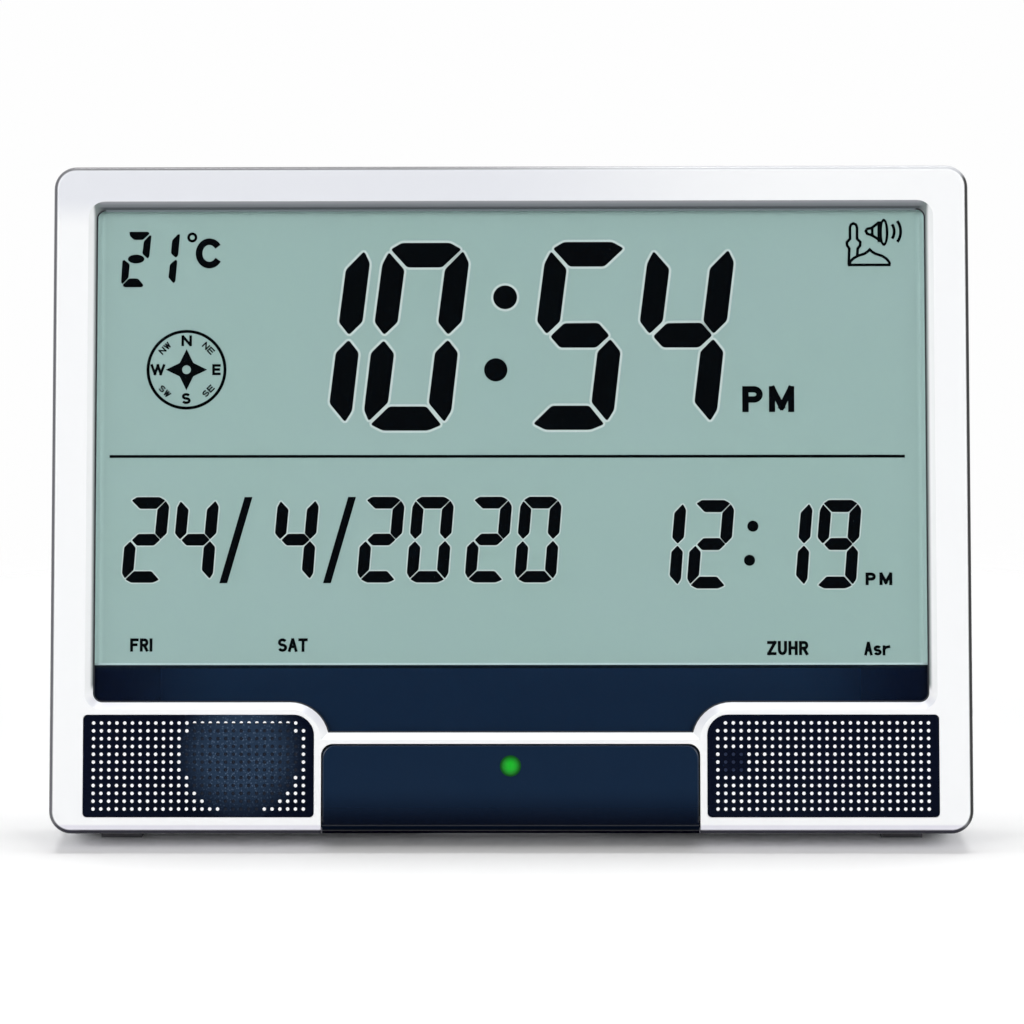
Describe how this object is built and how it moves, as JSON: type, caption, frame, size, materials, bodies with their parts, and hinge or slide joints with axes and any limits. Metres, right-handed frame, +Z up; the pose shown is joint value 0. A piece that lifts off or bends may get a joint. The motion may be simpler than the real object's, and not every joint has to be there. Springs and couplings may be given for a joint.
{
  "type": "azan clock",
  "caption": "Large LCD prayer-time clock in a white case with perforated pods, a flip-down key door and a fold-out leg.",
  "frame": {"origin": "on the table, under the centre of the clock's box, as it stands on its feet and its leg", "axes": "+Z up, +X to the right as seen from the front, front face towards -Y and leaning back 12 degrees"},
  "size_m": [0.312, 0.0774, 0.2282],
  "materials": {
    "white_shell": "satin white ABS",
    "clear_acrylic": "clear polished acrylic",
    "navy_ink": "navy screen print",
    "lcd_glass": "grey-green reflective LCD",
    "reflector_film": "satin reflector film",
    "conductive_rubber": "elastomer connector",
    "natural_plastic": "natural moulded plastic",
    "circuit_board": "green solder mask",
    "screw_steel": "zinc-plated steel",
    "black_epoxy": "black moulding compound",
    "can_aluminium": "capacitor can",
    "navy_plate": "navy painted perforated plate",
    "black_foam": "foam gasket",
    "speaker_steel": "black painted steel",
    "paper_cone": "coated paper cone",
    "ferrite": "ferrite magnet",
    "navy_plastic": "navy gloss plastic",
    "green_lens": "translucent green",
    "grey_keys": "grey key caps",
    "silicone": "silicone rubber",
    "white_cover": "fine textured white ABS",
    "black_plastic": "black moulded plastic",
    "black_rubber": "black rubber",
    "cell_jacket": "plain battery jacket",
    "spring_steel": "nickel-plated steel"
  },
  "bodies": {
    "case": {"front_bezel": "white_shell", "display_lens": "clear_acrylic", "navy_mask": "navy_ink", "lcd_panel": "lcd_glass", "reflector_sheet": "reflector_film", "zebra_strip": "conductive_rubber", "lcd_holder": "natural_plastic", "main_pcb": "circuit_board", "main_pcb_screws": "screw_steel", "main_chip": "black_epoxy", "capacitors": "can_aluminium", "clock_crystal": "can_aluminium", "left_grille": "navy_plate", "right_grille": "navy_plate", "speaker_gasket": "black_foam", "speaker_basket": "speaker_steel", "speaker_cone": "paper_cone", "speaker_magnet": "ferrite", "temperature_sensor": "black_plastic", "key_panel": "navy_plastic", "key_pad": "silicone", "key_pcb": "circuit_board", "key_pcb_screws": "screw_steel", "status_led": "green_lens", "rear_cover": "white_cover", "dc_jack": "black_plastic", "volume_switch_base": "black_plastic", "stand_pin": "screw_steel", "rubber_feet": "black_rubber", "battery_1": "cell_jacket", "battery_2": "cell_jacket", "battery_3": "cell_jacket", "battery_plates": "spring_steel", "battery_springs": "spring_steel", "case_screws": "screw_steel"},
    "key_door": {"key_door": "navy_plastic", "door_led_lens": "green_lens"},
    "stand_leg": {"stand_leg": "white_cover", "stand_pad": "black_rubber"},
    "battery_door": {"battery_door": "white_cover"},
    "volume_switch_knob": {"volume_switch_knob": "black_plastic"},
    "key_1": {"key_1": "grey_keys"},
    "key_2": {"key_2": "grey_keys"},
    "key_3": {"key_3": "grey_keys"},
    "key_4": {"key_4": "grey_keys"},
    "key_5": {"key_5": "grey_keys"},
    "key_6": {"key_6": "grey_keys"}
  },
  "joints": [
    {"name": "key_door_hinge", "type": "hinge", "parent": "case", "child": "key_door", "pos_m": [0, -0.03607, 0.00903], "axis": [1, 0, 0], "range_deg": [0, 90]},
    {"name": "stand_hinge", "type": "hinge", "parent": "case", "child": "stand_leg", "pos_m": [0, 0.01364, 0.11593], "axis": [1, 0, 0], "range_deg": [-21, 0]},
    {"name": "battery_door_hinge", "type": "hinge", "parent": "case", "child": "battery_door", "pos_m": [0.088, 0.01739, 0.1225], "axis": [-1, 0, 0], "range_deg": [0, 70]},
    {"name": "volume_slide", "type": "slide", "parent": "case", "child": "volume_switch_knob", "axis": [1, 0, 0], "range_m": [-0.002, 0.002]},
    {"name": "key_1_press", "type": "slide", "parent": "case", "child": "key_1", "axis": [0, 0.9781, -0.2079], "range_m": [0, 0.0006], "stiffness_N_per_m": 300, "springref_m": -0.0002},
    {"name": "key_2_press", "type": "slide", "parent": "case", "child": "key_2", "axis": [0, 0.9781, -0.2079], "range_m": [0, 0.0006], "stiffness_N_per_m": 300, "springref_m": -0.0002},
    {"name": "key_3_press", "type": "slide", "parent": "case", "child": "key_3", "axis": [0, 0.9781, -0.2079], "range_m": [0, 0.0006], "stiffness_N_per_m": 300, "springref_m": -0.0002},
    {"name": "key_4_press", "type": "slide", "parent": "case", "child": "key_4", "axis": [0, 0.9781, -0.2079], "range_m": [0, 0.0006], "stiffness_N_per_m": 300, "springref_m": -0.0002},
    {"name": "key_5_press", "type": "slide", "parent": "case", "child": "key_5", "axis": [0, 0.9781, -0.2079], "range_m": [0, 0.0006], "stiffness_N_per_m": 300, "springref_m": -0.0002},
    {"name": "key_6_press", "type": "slide", "parent": "case", "child": "key_6", "axis": [0, 0.9781, -0.2079], "range_m": [0, 0.0006], "stiffness_N_per_m": 300, "springref_m": -0.0002}
  ]
}
